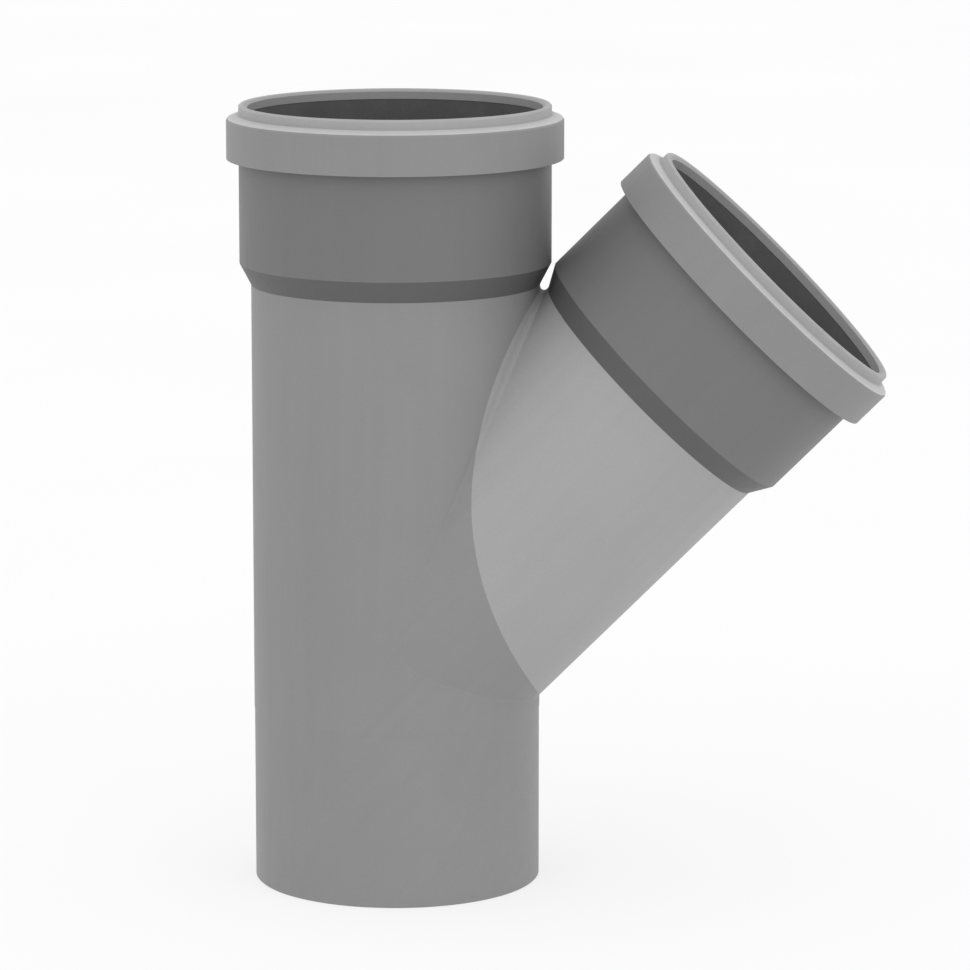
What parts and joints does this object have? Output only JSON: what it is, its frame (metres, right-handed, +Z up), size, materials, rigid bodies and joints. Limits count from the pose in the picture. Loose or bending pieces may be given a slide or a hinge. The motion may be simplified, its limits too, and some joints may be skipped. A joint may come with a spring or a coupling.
{
  "type": "drain branch fitting",
  "caption": "Grey plastic drain branch at 45 degrees, with a plain spigot at the foot and push-fit sockets with rubber seals.",
  "frame": {"origin": "centre of the spigot's end, on the centre line of the run", "axes": "+Z up the run to its socket; the branch leans towards +X; the fitting is symmetric about the plane y = 0"},
  "size_m": [0.2514, 0.1284, 0.3001],
  "materials": {
    "moulded_plastic": "satin, as moulded",
    "seal_rubber": "matte black rubber"
  },
  "bodies": {
    "root": {"branch_body": "moulded_plastic", "run_socket_seal": "seal_rubber", "branch_socket_seal": "seal_rubber"}
  },
  "joints": []
}
